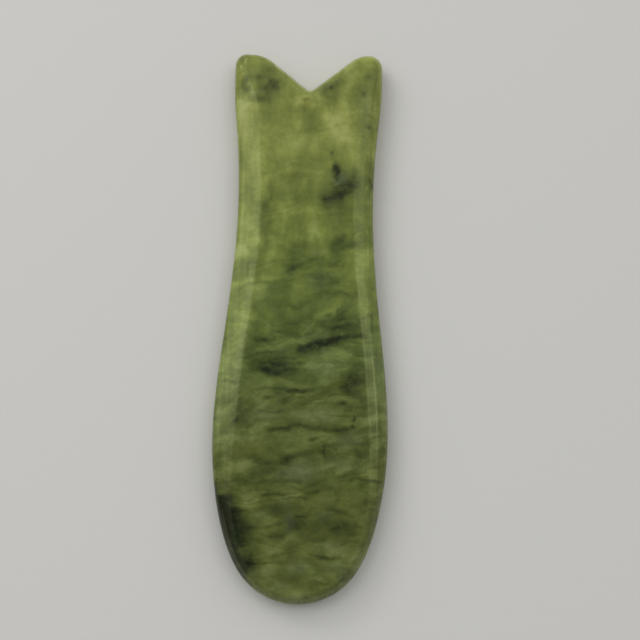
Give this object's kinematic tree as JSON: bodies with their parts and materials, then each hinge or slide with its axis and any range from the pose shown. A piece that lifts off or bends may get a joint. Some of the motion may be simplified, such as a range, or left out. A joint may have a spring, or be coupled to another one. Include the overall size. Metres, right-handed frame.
{
  "type": "gua sha scraper",
  "caption": "Fish-shaped flat stone scraping board for massage: rounded head, slim waist, forked tail, bevelled flanks and a rounded, polished rim.",
  "frame": {"origin": "middle of the back face's bounding rectangle, on the surface that the board lies on", "axes": "+Y along the board towards the forked tail, +X across it, away from the flank with the wide bevel, +Z out of the front face"},
  "size_m": [0.0376, 0.12, 0.0064],
  "materials": {
    "jade": "polished"
  },
  "bodies": {
    "root": {"jade_board": "jade"}
  },
  "joints": []
}
